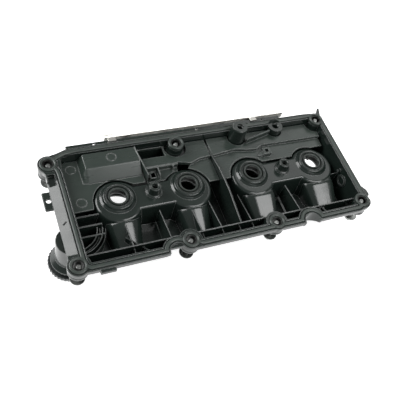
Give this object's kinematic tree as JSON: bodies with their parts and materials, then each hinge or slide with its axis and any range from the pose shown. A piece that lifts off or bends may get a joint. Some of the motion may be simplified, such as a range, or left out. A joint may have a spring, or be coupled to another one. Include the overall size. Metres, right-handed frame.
{
  "type": "cylinder head cover",
  "caption": "Plastic cylinder head cover, inside up: perimeter gasket, oil separator baffles, injector seals, captive bolts, filler cap, pressure regulator and heat shield.",
  "frame": {"origin": "on the gasket's sealing face, at the middle of the gasket's rear run, level in X with the middle of the injector row", "axes": "+Z out of the sealing face towards the cylinder head, +X along the injector row away from the oil filler, +Y towards the side with the heat shield"},
  "size_m": [0.4045, 0.1783, 0.086],
  "materials": {
    "shell_nylon": "moulded glass-filled nylon, greenish black, glossy with a fine flow texture",
    "baffle_nylon": "moulded glass-filled nylon, dark grey-green, half matt",
    "cap_nylon": "moulded nylon, black, fine grain",
    "gasket_rubber": "smooth moulded rubber, grey-green, matt",
    "seal_rubber": "smooth moulded rubber, dark grey",
    "zinc_steel": "bright zinc plating",
    "steel": "plain turned steel with an oil film",
    "aluminium": "bright rolled and embossed sheet"
  },
  "bodies": {
    "cover": {"cover_shell": "shell_nylon", "separator_plate_left": "baffle_nylon", "separator_plate_middle": "baffle_nylon", "separator_plate_right": "baffle_nylon", "perimeter_gasket": "gasket_rubber", "regulator_cover": "cap_nylon", "regulator_diaphragm": "seal_rubber", "regulator_spring": "steel", "breather_pipe": "baffle_nylon", "heat_shield": "aluminium", "injector_seal_1": "seal_rubber", "injector_seal_case_1": "steel", "injector_seal_2": "seal_rubber", "injector_seal_case_2": "steel", "injector_seal_3": "seal_rubber", "injector_seal_case_3": "steel", "injector_seal_4": "seal_rubber", "injector_seal_case_4": "steel", "clamp_bolt_seal_left": "seal_rubber", "clamp_bolt_seal_right": "seal_rubber", "shield_screw_left": "zinc_steel", "shield_screw_right": "zinc_steel", "bolt_sleeve_left_rear": "steel", "bolt_grommet_left_rear": "gasket_rubber", "bolt_sleeve_left_front": "steel", "bolt_grommet_left_front": "gasket_rubber", "bolt_sleeve_front_left": "steel", "bolt_grommet_front_left": "gasket_rubber", "bolt_sleeve_front_right": "steel", "bolt_grommet_front_right": "gasket_rubber", "bolt_sleeve_right_front": "steel", "bolt_grommet_right_front": "gasket_rubber", "bolt_sleeve_right_rear": "steel", "bolt_grommet_right_rear": "gasket_rubber", "bolt_sleeve_rear_middle": "steel", "bolt_grommet_rear_middle": "gasket_rubber"},
    "washer_left_rear": {"bolt_washer_left_rear": "zinc_steel"},
    "bolt_left_rear": {"cover_bolt_left_rear": "zinc_steel"},
    "washer_left_front": {"bolt_washer_left_front": "zinc_steel"},
    "bolt_left_front": {"cover_bolt_left_front": "zinc_steel"},
    "washer_front_left": {"bolt_washer_front_left": "zinc_steel"},
    "bolt_front_left": {"cover_bolt_front_left": "zinc_steel"},
    "washer_front_right": {"bolt_washer_front_right": "zinc_steel"},
    "bolt_front_right": {"cover_bolt_front_right": "zinc_steel"},
    "washer_right_front": {"bolt_washer_right_front": "zinc_steel"},
    "bolt_right_front": {"cover_bolt_right_front": "zinc_steel"},
    "washer_right_rear": {"bolt_washer_right_rear": "zinc_steel"},
    "bolt_right_rear": {"cover_bolt_right_rear": "zinc_steel"},
    "washer_rear_middle": {"bolt_washer_rear_middle": "zinc_steel"},
    "bolt_rear_middle": {"cover_bolt_rear_middle": "zinc_steel"},
    "cap_lift": {"filler_cap_seal": "seal_rubber"},
    "filler_cap": {"oil_filler_cap": "cap_nylon"},
    "regulator_valve": {"regulator_plunger": "baffle_nylon"}
  },
  "joints": [
    {"name": "bolt_travel_left_rear", "type": "slide", "parent": "cover", "child": "washer_left_rear", "axis": [0, 0, 1], "range_m": [0, 0.014]},
    {"name": "bolt_turn_left_rear", "type": "hinge", "parent": "washer_left_rear", "child": "bolt_left_rear", "pos_m": [-0.201, -0.0133, -0.02], "axis": [0, 0, 1], "continuous": true},
    {"name": "bolt_travel_left_front", "type": "slide", "parent": "cover", "child": "washer_left_front", "axis": [0, 0, 1], "range_m": [0, 0.014]},
    {"name": "bolt_turn_left_front", "type": "hinge", "parent": "washer_left_front", "child": "bolt_left_front", "pos_m": [-0.1985, -0.1463, -0.02], "axis": [0, 0, 1], "continuous": true},
    {"name": "bolt_travel_front_left", "type": "slide", "parent": "cover", "child": "washer_front_left", "axis": [0, 0, 1], "range_m": [0, 0.014]},
    {"name": "bolt_turn_front_left", "type": "hinge", "parent": "washer_front_left", "child": "bolt_front_left", "pos_m": [-0.0705, -0.1448, -0.02], "axis": [0, 0, 1], "continuous": true},
    {"name": "bolt_travel_front_right", "type": "slide", "parent": "cover", "child": "washer_front_right", "axis": [0, 0, 1], "range_m": [0, 0.014]},
    {"name": "bolt_turn_front_right", "type": "hinge", "parent": "washer_front_right", "child": "bolt_front_right", "pos_m": [0.04, -0.1458, -0.02], "axis": [0, 0, 1], "continuous": true},
    {"name": "bolt_travel_right_front", "type": "slide", "parent": "cover", "child": "washer_right_front", "axis": [0, 0, 1], "range_m": [0, 0.014]},
    {"name": "bolt_turn_right_front", "type": "hinge", "parent": "washer_right_front", "child": "bolt_right_front", "pos_m": [0.166, -0.1423, -0.02], "axis": [0, 0, 1], "continuous": true},
    {"name": "bolt_travel_right_rear", "type": "slide", "parent": "cover", "child": "washer_right_rear", "axis": [0, 0, 1], "range_m": [0, 0.014]},
    {"name": "bolt_turn_right_rear", "type": "hinge", "parent": "washer_right_rear", "child": "bolt_right_rear", "pos_m": [0.165, -0.0073, -0.02], "axis": [0, 0, 1], "continuous": true},
    {"name": "bolt_travel_rear_middle", "type": "slide", "parent": "cover", "child": "washer_rear_middle", "axis": [0, 0, 1], "range_m": [0, 0.014]},
    {"name": "bolt_turn_rear_middle", "type": "hinge", "parent": "washer_rear_middle", "child": "bolt_rear_middle", "pos_m": [-0.043, -0.0113, -0.02], "axis": [0, 0, 1], "continuous": true},
    {"name": "filler_cap_pull", "type": "slide", "parent": "cover", "child": "cap_lift", "axis": [0, 0, -1], "range_m": [0, 0.03]},
    {"name": "filler_cap_turn", "type": "hinge", "parent": "cap_lift", "child": "filler_cap", "pos_m": [-0.197, -0.1098, -0.06], "axis": [0, 0, -1], "range_deg": [0, 90]},
    {"name": "regulator_stroke", "type": "slide", "parent": "cover", "child": "regulator_valve", "axis": [0, 0, 1], "range_m": [0, 0.003], "stiffness_N_per_m": 400, "springref_m": -0.002, "deforming": ["regulator_spring", "regulator_diaphragm"]}
  ]
}
